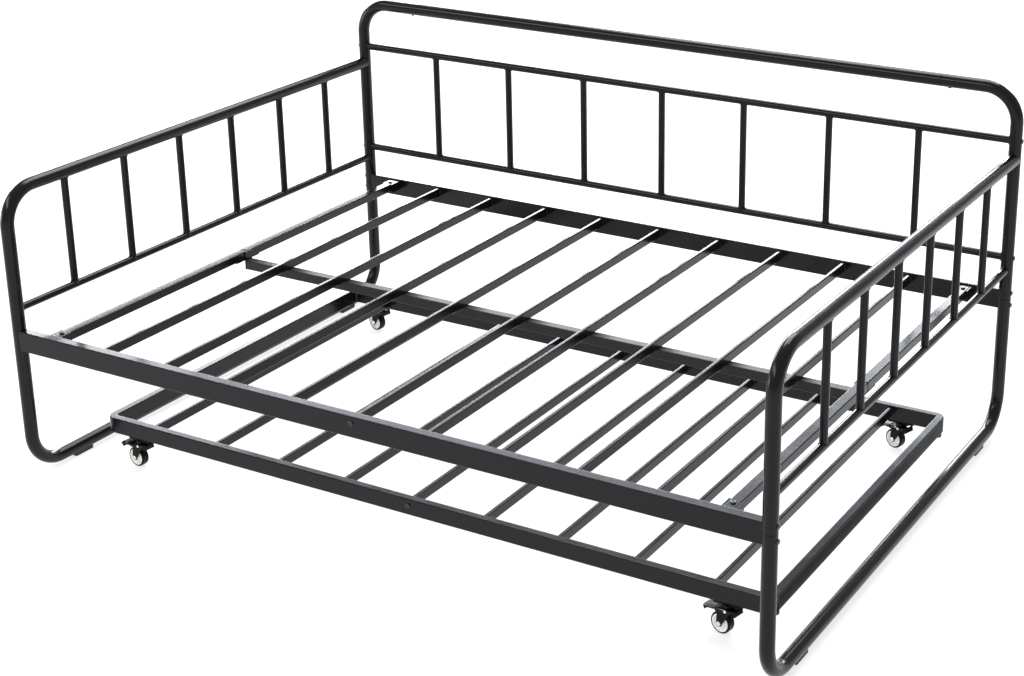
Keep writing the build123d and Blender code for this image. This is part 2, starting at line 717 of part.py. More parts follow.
def caster_fork():
    """Crown, web and two cheeks of the fork."""
    web_length = fork_web_front + fork_web_back
    web = Box(web_length, 2 * cheek_outer, fork_web_thick)
    web = Pos((fork_web_front - fork_web_back) / 2, 0, web_low + fork_web_thick / 2) * web
    crown = rod((0, 0, web_low), (0, 0, crown_top), 2 * cheek_outer)
    fork = web + crown + fork_cheek(-1.0) + fork_cheek(1.0)
    fork -= rod((0, 0, web_low), (0, 0, crown_top), king_pin_diameter + 2 * running_fit)
    hole = axle_diameter + 2 * thread_room
    ends = [(-caster_trail, side * 2 * cheek_outer, wheel_radius) for side in (-1.0, 1.0)]
    return fork - rod(ends[0], ends[1], hole)


def caster_axle():
    """Riveted axle across the fork."""
    axle_ends = [(-caster_trail, side * cheek_outer, wheel_radius) for side in (-1.0, 1.0)]
    axle = rod(axle_ends[0], axle_ends[1], axle_diameter)
    for side in (-1.0, 1.0):
        head_end = (-caster_trail, side * (cheek_outer + axle_head_thick), wheel_radius)
        head = rod((-caster_trail, side * cheek_outer, wheel_radius), head_end, axle_head_diameter)
        axle += fillet(head.edges().sort_by(Axis.Y)[0 if side < 0 else -1], axle_head_round)
    return axle


def turned_ring(points):
    """Ring turned about the wheel's axle from points given as radius and place across the wheel."""
    ring = revolve(make_face(Polyline(*points, close=True)), axis=Axis.Y)
    return Pos(-caster_trail, 0, wheel_radius) * ring


def wheel_hub():
    """Hub with a rim, a thinner web and a boss that runs on the axle."""
    bore = axle_diameter / 2 + running_fit
    boss = hub_boss_diameter / 2
    rim_outer = wheel_radius - tyre_thick
    rim_inner = rim_outer - hub_rim
    rim_half = tyre_width / 2 - hub_inset
    boss_half = cheek_inner - swivel_gap
    side = [(bore, boss_half), (boss, boss_half), (boss, hub_web / 2), (rim_inner, hub_web / 2)]
    side += [(rim_inner, rim_half), (rim_outer, rim_half)]
    return turned_ring(side + [(radius, -across) for radius, across in reversed(side)])


def wheel_tyre():
    """Tyre with rounded shoulders on the hub's rim."""
    inner = wheel_radius - tyre_thick
    half = tyre_width / 2
    ring = turned_ring([(inner, -half), (wheel_radius, -half), (wheel_radius, half), (inner, half)])
    shoulders = ring.edges().filter_by(GeomType.CIRCLE).group_by(SortBy.RADIUS)[-1]
    return fillet(shoulders, min(tyre_round, tyre_thick - least_wall))


def brake_pedal():
    """Rocker with a ribbed pedal that ends in a lip, two side arms and a rounded heel."""
    pad_front = -fork_web_back - pedal_end_room
    heel_back = fork_web_front + pedal_end_room
    pad = Pos(pad_front - pedal_length / 2, 0, pad_low) * extrude(
        RectangleRounded(pedal_length, 2 * arm_outer, pedal_corner), pedal_thick
    )
    rib_pitch = pedal_length / (pedal_rib_count + 1)
    for index in range(pedal_rib_count):
        x = pad_front - (index + 1) * rib_pitch
        rib = Box(pedal_rib_width, 2 * arm_inner, pedal_rib_tall)
        pad += Pos(x, 0, pad_top + pedal_rib_tall / 2) * rib
    lip_tall = pedal_lip_drop + pedal_thick
    lip = Box(pedal_lip_thick, 2 * (arm_outer - pedal_corner), lip_tall)
    pad += Pos(pad_front - pedal_length + pedal_lip_thick / 2, 0, pad_top - lip_tall / 2) * lip
    heel = Box(heel_length, 2 * arm_outer, heel_thick)
    heel = fillet(heel.edges().filter_by(Axis.Y).group_by(Axis.X)[-1], heel_round)
    heel = Pos(heel_back + heel_length / 2, 0, pivot_z + (pedal_arm_tall - heel_thick) / 2) * heel
    heel_plan = Polyline(
        (heel_back, -arm_outer),
        (heel_back + heel_length, -heel_tip_width / 2),
        (heel_back + heel_length, heel_tip_width / 2),
        (heel_back, arm_outer),
        close=True,
    )
    heel = heel & extrude(make_face(heel_plan), amount=caster_height)
    pedal = pad + heel
    arm_length = heel_back - pad_front + 2 * pedal_arm_thick
    for side in (-1.0, 1.0):
        arm = Box(arm_length, pedal_arm_thick, pedal_arm_tall)
        pedal += Pos((heel_back + pad_front) / 2, side * (arm_inner + arm_outer) / 2, pivot_z) * arm
    pivot_ends = [(pivot_x, side * 2 * arm_outer, pivot_z) for side in (-1.0, 1.0)]
    pedal -= rod(pivot_ends[0], pivot_ends[1], pedal_pivot_diameter + 2 * running_fit)
    return pedal.rotate(Axis((pivot_x, 0, pivot_z), (0, 1, 0)), -pedal_tilt)


caster_pieces = {
    "caster_fork": caster_fork(),
    "caster_axle": caster_axle(),
    "wheel_hub": wheel_hub(),
    "wheel_tyre": wheel_tyre(),
    "brake_pedal": brake_pedal(),
}
plates = []
pins = []
plate_screws = []
for spot, (spot_x, spot_y) in caster_spots.items():
    place = Pos(spot_x, spot_y, 0)
    plates.append(place * caster_plate())
    pins.append(place * king_pin())
    for x in plate_screw_places(spot_x):
        screw_length = plate_thick + trundle_wall + screw_grip
        plate_screws.append(screw((x, spot_y, plate_low), (0, 0, -1), screw_length))
    for piece, shape in caster_pieces.items():
        nodes[f"{piece}_{spot}"] = [place * Rot(0, 0, caster_turn[spot]) * shape]
nodes["caster_plates"] = plates
nodes["caster_king_pins"] = pins
nodes["caster_plate_screws"] = plate_screws

os.makedirs("parts", exist_ok=True)
for name, shapes in nodes.items():
    solids = [solid for shape in shapes for solid in shape.solids()]
    export_step(Compound(solids), f"parts/{name}.step")
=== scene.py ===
# %% [markdown]
# # A day bed with a trundle under it
# The bed is a welded tube frame in satin charcoal powder coat: two arms, a back, a slatted deck and, below,
# a second slatted frame on four casters. The packed model brings every tube, bolt and wheel at its real
# size, so this lesson never rebuilds them. It adds what a drawing leaves out and a photograph shows: the
# finish of every surface, the weld beads, the small parts of the casters, the studio and the camera.
# Places are in metres, with x to the right, y to the back and z up.

# %% Load the packed frame
import json
import math

import bmesh
import bpy
import numpy as np
from mathutils import Matrix, Vector


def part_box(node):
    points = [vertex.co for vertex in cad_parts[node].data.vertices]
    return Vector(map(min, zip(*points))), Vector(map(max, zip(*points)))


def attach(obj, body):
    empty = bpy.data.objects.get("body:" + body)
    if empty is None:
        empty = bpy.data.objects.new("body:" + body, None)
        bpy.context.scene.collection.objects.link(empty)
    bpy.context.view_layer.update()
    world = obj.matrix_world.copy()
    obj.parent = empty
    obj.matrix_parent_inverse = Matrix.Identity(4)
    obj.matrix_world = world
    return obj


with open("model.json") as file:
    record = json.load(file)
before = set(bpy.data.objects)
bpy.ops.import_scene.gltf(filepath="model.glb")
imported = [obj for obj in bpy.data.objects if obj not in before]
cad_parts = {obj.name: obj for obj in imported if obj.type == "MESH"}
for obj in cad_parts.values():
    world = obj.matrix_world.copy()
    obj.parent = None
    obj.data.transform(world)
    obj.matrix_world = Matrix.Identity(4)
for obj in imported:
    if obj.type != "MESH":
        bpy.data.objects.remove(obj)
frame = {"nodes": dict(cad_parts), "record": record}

nodes = frame["nodes"]
scene = bpy.context.scene
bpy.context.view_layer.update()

# %% [markdown]
# ## The camera
# The photograph was taken from the front right, a little above the top rail, with a long lens, and it was
# cropped off centre. Turning the camera to the crop's middle would change the perspective. A lens with a
# shift keeps it, so the camera holds the place where the lens axis met the picture, in pixels from its
# middle, and turns it into a shift. The angles are in radians.

# %% Camera at the photograph's place
image_width = 1024
sensor_width = 36.0
camera_place = Vector((2.2905, -3.6001, 2.0934))
pan = 0.49625
tilt = 0.34247
roll = 0.00349
focal_pixels = 1889.26
axis_right_pixels = 138.70
axis_up_pixels = 104.40

ahead = Vector((-math.sin(pan) * math.cos(tilt), math.cos(pan) * math.cos(tilt), -math.sin(tilt)))
level = Vector((math.cos(pan), math.sin(pan), 0.0))
raised = level.cross(ahead)
picture_right = math.cos(roll) * level + math.sin(roll) * raised
picture_up = math.cos(roll) * raised - math.sin(roll) * level

lens = bpy.data.cameras.new("photo_camera")
lens.sensor_width = sensor_width
lens.lens = focal_pixels * sensor_width / image_width
lens.shift_x = -axis_right_pixels / image_width
lens.shift_y = -axis_up_pixels / image_width
camera = bpy.data.objects.new("photo_camera", lens)
turn = Matrix((picture_right, picture_up, -ahead)).transposed().to_4x4()
camera.matrix_world = Matrix.Translation(camera_place) @ turn
scene.collection.objects.link(camera)
scene.camera = camera
print("lens", round(lens.lens, 2), "mm, shift", round(lens.shift_x, 4), round(lens.shift_y, 4))

# %% [markdown]
# ## Shader maths as expressions
# A material is a small program, and a tangle of node calls hides it. One class wraps an output socket, so
# that `1 - mask` or `0.3 + 0.1 * cloud` adds its Math nodes by itself. Every other node comes from its one
# `node` method. Patterns start from Object coordinates, in metres, because every object sits at the origin.

# %% The class for shader values
class Shade:
    """One output socket of a material; arithmetic on it adds Math nodes to the same material."""

    def __init__(self, tree, socket):
        self.tree = tree
        self.socket = socket

    def node(self, kind, settings, sockets, output=0):
        """Adds a node: first its settings, then each socket's value or link; returns one of its outputs."""
        made = self.tree.nodes.new(kind)
        for name, setting in settings.items():
            setattr(made, name, setting)
        for key, given in sockets.items():
            if isinstance(given, Shade):
                self.tree.links.new(given.socket, made.inputs[key])
            else:
                made.inputs[key].default_value = given
        return Shade(self.tree, made.outputs[output])

    def math(self, operation, first, second):
        return self.node("ShaderNodeMath", {"operation": operation}, {0: first, 1: second})

    def __add__(self, other):
        return self.math("ADD", self, other)

    __radd__ = __add__

    def __sub__(self, other):
        return self.math("SUBTRACT", self, other)

    def __rsub__(self, other):
        return self.math("SUBTRACT", other, self)

    def __mul__(self, other):
        return self.math("MULTIPLY", self, other)

    __rmul__ = __mul__

    def noise(self, scale, detail=2.0, stretch=(1, 1, 1)):
        """Cloudy noise between 0 and 1, with `scale` lumps to the metre, drawn out by `stretch`."""
        place = self.node("ShaderNodeMapping", {}, {"Vector": self, "Scale": stretch})
        return self.node("ShaderNodeTexNoise", {}, {"Vector": place, "Scale": scale, "Detail": detail})

    def smooth_step(self, low, high):
        """0 below `low`, 1 above `high`, and a smooth ramp between them."""
        ends = {"Value": self, "From Min": low, "From Max": high}
        return self.node("ShaderNodeMapRange", {"interpolation_type": "SMOOTHSTEP"}, ends)

    def mix(self, colour_at_0, colour_at_1):
        """This value chooses between two colours."""
        factor, first_colour, second_colour, colour_output = 0, 6, 7, 2
        ends = {factor: self, first_colour: colour_at_0, second_colour: colour_at_1}
        return self.node("ShaderNodeMix", {"data_type": "RGBA"}, ends, colour_output)


print("reflected operators", [name for name in vars(Shade) if name.startswith("__r")])

# %% [markdown]
# ## From a shader to a finish
# Each finish of the bed starts in the same way: a material, its Principled shader and a place on the piece.
# A few small helpers do that, so that a finish is only its own colours and noises. A dictionary keeps each
# finish under the name of the slot that will wear it.

# %% Helpers for finishes
finishes = {}


def colour(red, green, blue):
    return (red, green, blue, 1.0)


def finish_named(name, **constants):
    """A new material: returns it, its Principled shader and its Object coordinates."""
    made = bpy.data.materials.new(name)
    made.use_nodes = True
    shader = made.node_tree.nodes["Principled BSDF"]
    for key, value in constants.items():
        shader.inputs[key.replace("_", " ")].default_value = value
    source = made.node_tree.nodes.new("ShaderNodeTexCoord")
    return made, shader, Shade(made.node_tree, source.outputs["Object"])


def feed(shader, socket, value):
    value.tree.links.new(value.socket, shader.inputs[socket])


def bump(shader, height, strength, depth):
    """Turns a height between 0 and 1 into a Normal, with `depth` in metres."""
    normal = height.node("ShaderNodeBump", {}, {"Height": height, "Strength": strength, "Distance": depth})
    feed(shader, "Normal", normal)


def keep_finish(slot, made):
    finishes[slot] = made
    print(slot, "has", len(made.node_tree.nodes), "nodes")


print("slots to dress", len({slot.material.name for node in nodes.values() for slot in node.material_slots}))

# %% [markdown]
# ## Powder coat
# The paint is a dry powder that melts on the hot tube. It sets satin, nearly black with a little blue, and
# leaves a fine orange peel of about a millimetre. Its gloss drifts slowly along a tube, and it is a touch
# duller where hands and cardboard rubbed it and where dust lies. A flat colour would miss all of this, so
# the colour, the roughness and the bump each take a noise of their own scale.

# %% Satin charcoal powder coat
def powder_coat():
    deep_charcoal = colour(0.0036, 0.0031, 0.0045)
    pale_charcoal = colour(0.0056, 0.0050, 0.0068)
    dust_grey = colour(0.034, 0.034, 0.037)
    dust_cover = 0.18
    made, shader, place = finish_named("charcoal_powder_coat", IOR=1.33)
    drift = place.noise(scale=2.2, detail=3.0)
    rubbed = place.noise(scale=14.0, detail=4.0).smooth_step(low=0.52, high=0.74)
    dust = place.noise(scale=240.0, detail=3.0).smooth_step(low=0.68, high=0.78)
    clean = 1 - dust
    peel = place.noise(scale=700.0, detail=1.0)
    paint = drift.mix(deep_charcoal, pale_charcoal)
    feed(shader, "Base Color", (dust_cover * dust).mix(paint, dust_grey))
    feed(shader, "Roughness", 0.21 + 0.02 * drift + 0.03 * rubbed - 0.04 * clean)
    bump(shader, peel, strength=0.05, depth=0.0001)
    return made


keep_finish("frame_paint", powder_coat())

# %% [markdown]
# ## The matt centre beam
# The beam under the slats took a thin, dry coat. It doesn't mirror the bright lamps as the slats do, and it
# looks a little brown, with faint lines along it where the tube was drawn. Noise that is drawn out along
# the beam gives the lines, and a high roughness takes the mirror away.

# %% Dry coat with drawn lines
def dry_coat():
    brown_black = colour(0.007, 0.005, 0.005)
    dry_brown = colour(0.024, 0.019, 0.017)
    made, shader, place = finish_named("dry_brown_black_coat", IOR=1.38)
    lines = place.noise(scale=320.0, detail=2.0, stretch=(0.02, 1.0, 1.0))
    cloud = place.noise(scale=18.0, detail=3.0)
    feed(shader, "Base Color", lines.mix(brown_black, dry_brown))
    feed(shader, "Roughness", 0.40 + 0.10 * cloud + 0.10 * lines)
    bump(shader, lines, strength=0.2, depth=0.0002)
    return made


keep_finish("dry_coat", dry_coat())

# %% [markdown]
# ## Bolts, rivets and axles
# The bolts are blackened steel: a thin dark layer that shines as paint does, duller where a key scuffed it.
# The rivets, screws and axles of the casters are bright zinc, and the sleeves inside the tubes are bare
# steel. A plain mirror would look like chrome, so fine scratches break it up.

# %% Blackened steel
def black_bolt():
    made, shader, place = finish_named("blackened_steel", IOR=1.6)
    scuff = place.noise(scale=420.0, detail=3.0).smooth_step(low=0.45, high=0.75)
    feed(shader, "Base Color", scuff.mix(colour(0.010, 0.010, 0.011), colour(0.030, 0.030, 0.032)))
    feed(shader, "Roughness", 0.16 + 0.16 * scuff)
    bump(shader, place.noise(scale=900.0), strength=0.2, depth=0.00008)
    return made


keep_finish("black_bolts", black_bolt())

# %% Bright metal
def scratched_metal(name, dark, bright, gloss):
    """Metal: a cloud in the colour, and scratches in the roughness and in the bump."""
    made, shader, place = finish_named(name, Metallic=1.0)
    cloud = place.noise(scale=60.0, detail=3.0)
    scratch = place.noise(scale=300.0, detail=2.0, stretch=(1.0, 1.0, 9.0))
    feed(shader, "Base Color", cloud.mix(dark, bright))
    feed(shader, "Roughness", gloss + 0.12 * scratch)
    bump(shader, scratch, strength=0.15, depth=0.00005)
    return made


metal_looks = {
    "bare_steel": {"dark": colour(0.35, 0.35, 0.36), "bright": colour(0.52, 0.52, 0.53), "gloss": 0.32},
    "bright_zinc": {"dark": colour(0.62, 0.63, 0.65), "bright": colour(0.82, 0.83, 0.85), "gloss": 0.16},
}
for slot, look in metal_looks.items():
    keep_finish(slot, scratched_metal(slot, **look))

# %% [markdown]
# ## Plastics, rubber and the black casters
# Pads, pedals, hubs and tyres are moulded, and the casters' forks and plates have a thick gloss paint. None
# of them is scratched like bare metal: they carry a fine grain, so one function makes them all. Each has its
# own gloss and grain, and the index sets how much of the room a dark surface mirrors.

# %% Moulded plastics and gloss black
caster_dark = colour(0.002, 0.002, 0.0025)
caster_pale = colour(0.004, 0.004, 0.005)
tyre_dark = colour(0.003, 0.003, 0.0035)
tyre_pale = colour(0.006, 0.006, 0.007)


def moulded(name, dark, bright, gloss, grain, depth, index=1.5):
    """Moulded plastic: a slow cloud in the colour and a grain of `grain` lumps to the metre."""
    made, shader, place = finish_named(name, IOR=index)
    cloud = place.noise(scale=35.0, detail=3.0)
    pebble = place.noise(scale=grain, detail=2.0)
    feed(shader, "Base Color", cloud.mix(dark, bright))
    feed(shader, "Roughness", gloss + 0.08 * cloud + 0.08 * pebble)
    bump(shader, pebble, strength=0.3, depth=depth)
    return made


moulded_looks = {
    "pad_plastic": {
        "dark": colour(0.010, 0.010, 0.010), "bright": colour(0.018, 0.018, 0.018),
        "gloss": 0.48, "grain": 900.0, "depth": 0.0002,
    },
    "caster_black": {
        "dark": caster_dark, "bright": caster_pale,
        "gloss": 0.10, "grain": 500.0, "depth": 0.00005, "index": 1.2,
    },
    "pedal_black": {
        "dark": caster_dark, "bright": caster_pale,
        "gloss": 0.05, "grain": 800.0, "depth": 0.00003, "index": 1.24,
    },
    "hub_cream": {
        "dark": colour(0.92, 0.91, 0.85), "bright": colour(0.97, 0.96, 0.92),
        "gloss": 0.06, "grain": 400.0, "depth": 0.00004,
    },
    "tyre_black": {
        "dark": tyre_dark, "bright": tyre_pale,
        "gloss": 0.18, "grain": 700.0, "depth": 0.0001, "index": 1.22,
    },
}
for slot, look in moulded_looks.items():
    keep_finish(slot, moulded(slot, **look))

# %% [markdown]
# ## Dressing the packed pieces
# The packed model names a slot on each piece, and each slot gets the finish of the same name. Only the
# centre beam goes its own way: it is in the slot of the frame's paint but wears the dry coat.

# %% One finish for each slot
own_finish = {"centre_beam": "dry_coat"}
dressed = 0
for name, node in nodes.items():
    for place in node.material_slots:
        slot = place.material.name.split(".")[0]
        place.material = finishes[own_finish.get(name, slot)]
        dressed += 1
print("finishes", len(finishes), "slots dressed", dressed)

# %% [markdown]
# ## Surfaces from arrays
# Each new piece is a grid of points worked out at once, so one helper turns a stack of grids into a mesh.
# The columns of a grid always close on themselves, as round a bead, and its rows do so only in a ring.
# Merging doubles shuts the poles, where a whole row of points falls together.

# %% From grids of points to a piece
merge_distance = 1e-6


def grid_faces(rows, columns, close_rows):
    """Corner numbers of the quads of a grid whose columns close on themselves, as rows of four."""
    bands = rows if close_rows else rows - 1
    row, column = np.meshgrid(np.arange(bands), np.arange(columns), indexing="ij")
    here = row * columns
    below = ((row + 1) % rows) * columns
    after = (column + 1) % columns
    return np.stack([here + column, below + column, below + after, here + after], axis=-1).reshape(-1, 4)


def piece_from_grids(name, grids, close_rows, body, slot):
    """Makes one piece of grids of shape (copies, rows, columns, 3), in metres, riding on a body."""
    copies, rows, columns, _ = grids.shape
    faces = grid_faces(rows, columns, close_rows)
    offsets = np.arange(copies)[:, None, None] * rows * columns
    mesh = bpy.data.meshes.new(name)
    mesh.from_pydata(grids.reshape(-1, 3).tolist(), [], (faces[None] + offsets).reshape(-1, 4).tolist())
    work = bmesh.new()
    work.from_mesh(mesh)
    bmesh.ops.remove_doubles(work, verts=work.verts, dist=merge_distance)
    bmesh.ops.recalc_face_normals(work, faces=work.faces)
    work.to_mesh(mesh)
    work.free()
    mesh.polygons.foreach_set("use_smooth", np.ones(len(mesh.polygons), dtype=bool))
    mesh.update()
    piece = bpy.data.objects.new(name, mesh)
    scene.collection.objects.link(piece)
    mesh.materials.append(finishes[slot])
    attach(piece, body)
    print(name, "copies", copies, "faces", len(mesh.polygons))


print("a ring of 4 by 6 points has", len(grid_faces(4, 6, True)), "faces")

# %% [markdown]
# ## Places on the packed frame
# The weld beads go where the packed pieces meet, so their places are measured and not typed. A node such as
# the spindles holds a whole row of equal pieces, and its box gives the middle of each one.

# %% Measuring the frame
x_axis, y_axis, z_axis = range(3)
up = (0, 0, 1)
down = (0, 0, -1)
rightward = (1, 0, 0)
leftward = (-1, 0, 0)
backward = (0, 1, 0)
forward = (0, -1, 0)


def middle(node, axis):
    low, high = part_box(node)
    return (low[axis] + high[axis]) / 2


def middles(node, axis, count, width):
    """The middles of a row of `count` equal pieces in one node, along one axis."""
    low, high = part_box(node)
    return np.linspace(low[axis] + width / 2, high[axis] - width / 2, count)


def points(xs, ys, zs):
    """Rows of x, y and z, where each of the three is one number or a row of numbers."""
    return np.stack(np.broadcast_arrays(xs, ys, zs), axis=-1)


def full_turn(steps):
    return np.linspace(0.0, 2.0 * math.pi, steps, endpoint=False)


back_y = middle("back_spindles", y_axis)
print("the back stands at y", round(back_y, 4))

# %% [markdown]
# ## Weld beads round the spindles
# Each spindle is cut to a saddle and welded round to its rail, and the bead catches a small light in every
# corner of the back and the arms. A torus would be wrong, because the bead follows the curve where two
# tubes cross. That curve has a formula, so the bead is a circle carried along it, with ripples.

# %% A bead on a saddle curve
tube_radius = 0.016
thin_radius = 0.0095
spindle_radius = 0.009
bead_radius = 0.0022
saddle_steps = 40
bead_sides = 8
ripples = 11
ripple_share = 0.12


def saddle_beads(centres, towards, along, branch_radius, rail_radius):
    """Closed beads where round branches leave a round rail.

    With a the way from the rail to the branch, t along the rail and w = a x t, the saddle curve at angle u
    is centre + r (cos u t + sin u w) + sqrt(R^2 - (r sin u)^2) a. The bead is a circle about that curve, in
    the plane of the outward radius n = cos u t + sin u w and of a, and its radius ripples along the curve.
    """
    away = np.asarray(towards, dtype=float)
    rail = np.asarray(along, dtype=float)
    cross = np.cross(away, rail)
    u = full_turn(saddle_steps)[:, None, None]
    v = full_turn(bead_sides)[None, :, None]
    outward = np.cos(u) * rail + np.sin(u) * cross
    lift = np.sqrt(rail_radius**2 - (branch_radius * np.sin(u)) ** 2)
    curve = branch_radius * outward + lift * away
    thick = bead_radius * (1.0 + ripple_share * np.sin(ripples * u))
    bead = curve + thick * (np.cos(v) * outward + np.sin(v) * away)
    return np.asarray(centres, dtype=float)[:, None, None, :] + bead[None]


print("points in one bead", saddle_steps * bead_sides)

# %% Beads on the arms and the back
arm_spindle_count = 6
back_spindle_count = 7

for side in ("left", "right"):
    spindles = "arm_spindles_" + side
    arm_x = middle(spindles, x_axis)
    arm_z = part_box("arm_tube_" + side)[1].z - tube_radius
    rail_z = middle("arm_lower_rail_" + side, z_axis)
    ys = middles(spindles, y_axis, arm_spindle_count, 2 * spindle_radius)
    beads = [
        saddle_beads(points(arm_x, ys, arm_z), down, backward, spindle_radius, tube_radius),
        saddle_beads(points(arm_x, ys, rail_z), up, backward, spindle_radius, thin_radius),
    ]
    piece_from_grids("arm_weld_beads_" + side, np.concatenate(beads), True, "bed_frame", "frame_paint")

xs = middles("back_spindles", x_axis, back_spindle_count, 2 * spindle_radius)
upper_z = middle("back_upper_crossbar", z_axis)
lower_z = middle("back_lower_crossbar", z_axis)
beads = [
    saddle_beads(points(xs, back_y, upper_z), down, rightward, spindle_radius, thin_radius),
    saddle_beads(points(xs, back_y, lower_z), up, rightward, spindle_radius, thin_radius),
]
piece_from_grids("back_weld_beads", np.concatenate(beads), True, "bed_frame", "frame_paint")

# %% [markdown]
# ## Weld beads on the posts
# The lower arm rails butt against the front and back posts, and the two crossbars against the back posts.
# These are the same saddle curves, with an upright post in place of the rail, so the same function makes
# them from other directions.

# %% Beads where rails meet the posts
beads = []
for side, inward in (("left", rightward), ("right", leftward)):
    post_x = middle("arm_lower_rail_" + side, x_axis)
    rail_z = middle("arm_lower_rail_" + side, z_axis)
    front_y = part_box("arm_tube_" + side)[0].y + tube_radius
    joins = [
        ((post_x, front_y, rail_z), backward),
        ((post_x, back_y, rail_z), forward),
        ((post_x, back_y, upper_z), inward),
        ((post_x, back_y, lower_z), inward),
    ]
    beads += [saddle_beads([place], way, up, thin_radius, tube_radius) for place, way in joins]
piece_from_grids("post_weld_beads", np.concatenate(beads), True, "bed_frame", "frame_paint")

# %% [markdown]
# ## Straight beads at the slats
# A slat is flat tube, butted to the rail and welded down its two sides. Such a bead is a circle carried
# along a straight line, thin where the torch starts and stops, so its radius falls to nothing at the ends.

# %% A bead on a straight line
slat_count = 9
slat_width = 0.010
slat_bead_radius = 0.0019
slat_bead_inset = 0.002
straight_steps = 25
end_power = 6


def straight_beads(starts, run, out):
    """Beads along straight lines: start + s run + r(s) (cos v u + sin v w), with u the way out, w = u x run
    made unit, and r(s) = radius (1 - (2 s - 1)^6)^(1/2) (1 + ripple sin), so both ends close to a point."""
    run = np.asarray(run, dtype=float)
    out = np.asarray(out, dtype=float)
    side = np.cross(out, run / np.linalg.norm(run))
    s = np.linspace(0.0, 1.0, straight_steps)[:, None, None]
    v = full_turn(bead_sides)[None, :, None]
    swell = np.sqrt(1.0 - np.minimum(1.0, np.abs(2.0 * s - 1.0)) ** end_power)
    thick = slat_bead_radius * swell * (1.0 + ripple_share * np.sin(ripples * 2.0 * math.pi * s))
    bead = s * run + thick * (np.cos(v) * out + np.sin(v) * side)
    return np.asarray(starts, dtype=float)[:, None, None, :] + bead[None]


print("points in one slat bead", straight_steps * bead_sides)

# %% Beads down the sides of the slats
def slat_beads(slats):
    """Upright beads on both sides and both ends of a row of slats, clear of their tops and bottoms."""
    low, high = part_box(slats)
    xs = middles(slats, x_axis, slat_count, slat_width)
    sides = np.concatenate([xs - slat_width / 2, xs + slat_width / 2])
    ends = np.repeat([low.y, high.y], len(sides))
    starts = points(np.tile(sides, 2), ends, low.z + slat_bead_inset)
    run = (0.0, 0.0, high.z - low.z - 2 * slat_bead_inset)
    return straight_beads(starts, run, rightward)


piece_from_grids("deck_weld_beads", slat_beads("deck_slats"), False, "bed_frame", "frame_paint")
piece_from_grids("trundle_weld_beads", slat_beads("trundle_slats"), False, "trundle", "frame_paint")

# %% [markdown]
# ## Small parts of the casters
# Each caster has a brake pedal on two rivets. The pedal's ribs are flat on top with thin grooves between
# them, and under the pedal hangs the brake shoe with two rivets in each side. The four casters are each
# turned another way, so modelling in place would be slow. The packed record gives each pedal's pivot and
# axis, and the pedal stands pressed down by a few degrees, so one helper places points that are given
# along, across and up from the pivot.

# %% Points on a caster, from its pivot
spots = ("front_left", "front_right", "rear_left", "rear_right")
joints = {joint["name"]: joint for joint in frame["record"]["behaviour"]["joints"]}
pedal_lean = math.radians(9.0)
upright = np.asarray(up, dtype=float)


def level_way(axis):
    """The level way at right angles to a level axis."""
    return np.array([axis[1], -axis[0], 0.0])


def from_pivot(spot, lean, along, across, up_by):
    """Points of a caster: pivot + along t + across c + up_by u. The pedal's axis is c, and t and u are the
    level and the upright way at right angles to it, leaned about it."""
    joint = joints["brake_" + spot]
    c = np.asarray(joint["axis"], dtype=float)
    t = math.cos(lean) * level_way(c) + math.sin(lean) * upright
    u = math.cos(lean) * upright - math.sin(lean) * level_way(c)
    steps = np.broadcast_arrays(along, across, up_by)
    return np.asarray(joint["pos_m"]) + sum(step[..., None] * axis for step, axis in zip(steps, (t, c, u)))


for spot in spots:
    axis_x, axis_y, _ = joints["brake_" + spot]["axis"]
    print(spot, "caster turned by", round(math.degrees(math.atan2(-axis_x, axis_y)), 1), "degrees")

# %% [markdown]
# ## Pedal ribs and brake shoes
# The ribs give the foot a hold on the pedal, and the shoe under it presses on the tyre. Boxes with a Bevel
# would do, but they need another bevel for each piece. A bar with a formula for its section goes from a
# flat-topped rib to a rounder shoe by one number, its squareness. Places are in metres from the pivot.

# %% Bars with soft edges
bar_steps = 21
bar_sides = 24


def signed_power(wave, power):
    return np.sign(wave) * np.abs(wave) ** power


def soft_bar(half_long, half_wide, half_tall, squareness):
    """Closed bar with soft edges: at s along and v around, (half_wide f C, half_long s, half_tall f S), where
    C and S are cos v and sin v raised to 2 / squareness with their sign, and f = (1 - s^8)^(1/4)."""
    s = np.sin(np.linspace(-0.5, 0.5, bar_steps) * math.pi)[:, None]
    v = full_turn(bar_sides)[None, :]
    f = (1.0 - s**8) ** 0.25
    wide = signed_power(np.cos(v), 2.0 / squareness)
    tall = signed_power(np.sin(v), 2.0 / squareness)
    return half_wide * f * wide, half_long * s + 0.0 * v, half_tall * f * tall


print("points in one bar", bar_steps * bar_sides)

# %% Ribs and brake shoes
rib_count = 6
rib_first = -0.02914
rib_pitch = -0.005143
rib_base = 0.005
shoe_along = -0.036
shoe_up = -0.0027
rib_x, rib_y, rib_z = soft_bar(half_long=0.0141, half_wide=0.0019, half_tall=0.0018, squareness=8.0)
shoe_y, shoe_x, shoe_z = soft_bar(half_long=0.010, half_wide=0.0095, half_tall=0.0031, squareness=3.0)
for spot in spots:
    ribs = [
        from_pivot(spot, pedal_lean, rib_x + rib_first + index * rib_pitch, rib_y, rib_z + rib_base)
        for index in range(rib_count)
    ]
    piece_from_grids("pedal_ribs_" + spot, np.stack(ribs), False, "pedal_" + spot, "pedal_black")
    shoe = from_pivot(spot, pedal_lean, shoe_x + shoe_along, shoe_y, shoe_z + shoe_up)
    piece_from_grids("brake_shoe_" + spot, shoe[None], False, "pedal_" + spot, "pedal_black")

# %% [markdown]
# ## Rivets
# A rivet's head is a low zinc dome that catches a point of light. Half a sphere would stand too proud, so
# this dome has a height of its own. It is turned from a quarter wave, and its flat base meets the fork or
# the shoe.

